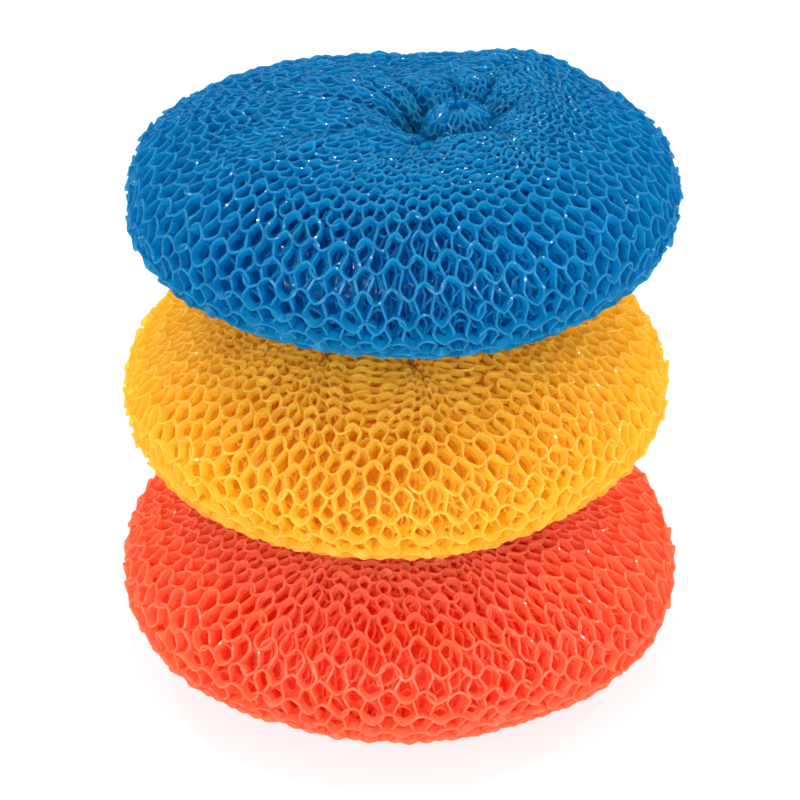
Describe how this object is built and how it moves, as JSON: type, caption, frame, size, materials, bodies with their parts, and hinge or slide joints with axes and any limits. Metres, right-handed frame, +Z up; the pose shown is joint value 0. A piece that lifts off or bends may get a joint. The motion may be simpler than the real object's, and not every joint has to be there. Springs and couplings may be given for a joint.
{
  "type": "pot scrubber",
  "caption": "Round knitted plastic pot scrubbers in a loose stack: each a mesh tube rolled into a thick bun with a puckered centre, for scouring pans by hand.",
  "frame": {"origin": "on the surface the stack rests on, under the middle of the red scrubber, which is the lowest and widest", "axes": "+Z up along the red scrubber's axis and the way the upper scrubbers lift off; -Y towards the front of the stack; +X to its right"},
  "size_m": [0.097, 0.097, 0.1099],
  "materials": {
    "red_mesh": "glossy, slightly see-through tape",
    "yellow_mesh": "glossy, slightly see-through tape",
    "blue_mesh": "glossy, slightly see-through tape",
    "tie_thread": "twisted thread"
  },
  "bodies": {
    "red_scrubber": {"red_outer_turn": "red_mesh", "red_middle_turn": "red_mesh", "red_inner_turn": "red_mesh", "red_core_turn": "red_mesh", "red_drawn_end": "red_mesh", "red_tie_thread": "tie_thread"},
    "yellow_scrubber": {"yellow_outer_turn": "yellow_mesh", "yellow_middle_turn": "yellow_mesh", "yellow_inner_turn": "yellow_mesh", "yellow_core_turn": "yellow_mesh", "yellow_drawn_end": "yellow_mesh", "yellow_tie_thread": "tie_thread"},
    "blue_scrubber": {"blue_outer_turn": "blue_mesh", "blue_middle_turn": "blue_mesh", "blue_inner_turn": "blue_mesh", "blue_core_turn": "blue_mesh", "blue_drawn_end": "blue_mesh", "blue_tie_thread": "tie_thread"}
  },
  "joints": [
    {"name": "yellow_lift", "type": "slide", "parent": "red_scrubber", "child": "yellow_scrubber", "axis": [0, 0, 1], "range_m": [0, 0.12]},
    {"name": "blue_lift", "type": "slide", "parent": "yellow_scrubber", "child": "blue_scrubber", "axis": [0, 0, 1], "range_m": [0, 0.12]}
  ]
}
